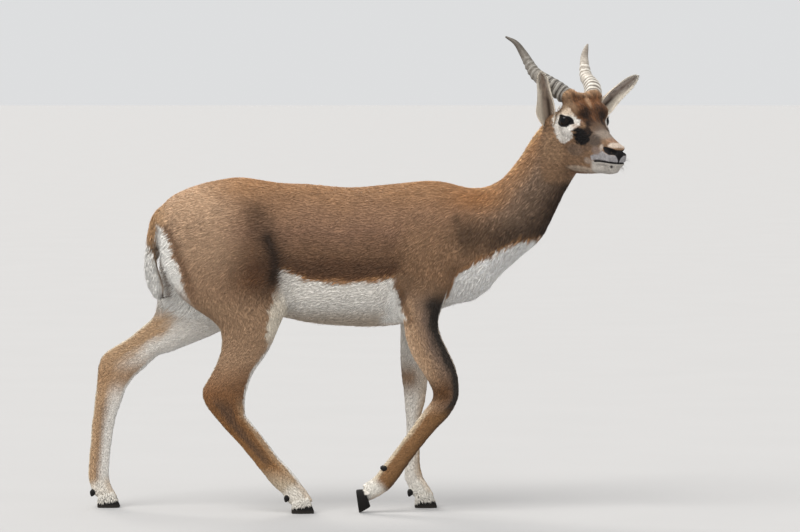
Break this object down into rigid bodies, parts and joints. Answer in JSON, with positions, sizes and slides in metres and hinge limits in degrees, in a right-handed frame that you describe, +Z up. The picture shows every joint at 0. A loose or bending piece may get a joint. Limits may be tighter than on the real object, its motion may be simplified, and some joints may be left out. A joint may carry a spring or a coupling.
{
  "type": "blackbuck",
  "caption": "Life-size still model of a young male blackbuck, walking with its head turned to its right, standing on its four cloven feet.",
  "frame": {"origin": "on the floor, under the middle of the animal's box", "axes": "+X towards the front of the animal, +Y to its left, +Z up"},
  "size_m": [1.1918, 0.343, 1.0209],
  "materials": {
    "coat_back": "short tan hair",
    "coat_white": "long white hair",
    "ear_skin": "thin grey ear with short hair",
    "horn": "ringed grey horn",
    "hoof": "black keratin",
    "eye": "wet dark eye"
  },
  "bodies": {
    "root": {"trunk": "coat_back", "neck": "coat_back", "head": "coat_back", "tail": "coat_white", "foreleg_right": "coat_back", "foreleg_left": "coat_back", "hindleg_right": "coat_back", "hindleg_left": "coat_back", "ear_right": "ear_skin", "ear_left": "ear_skin", "horn_right": "horn", "horn_left": "horn", "eye_right": "eye", "eye_left": "eye", "claw_hind_right_right": "hoof", "claw_hind_right_left": "hoof", "claw_hind_left_right": "hoof", "claw_hind_left_left": "hoof", "claw_fore_right_right": "hoof", "claw_fore_right_left": "hoof", "claw_fore_left_right": "hoof", "claw_fore_left_left": "hoof"}
  },
  "joints": []
}
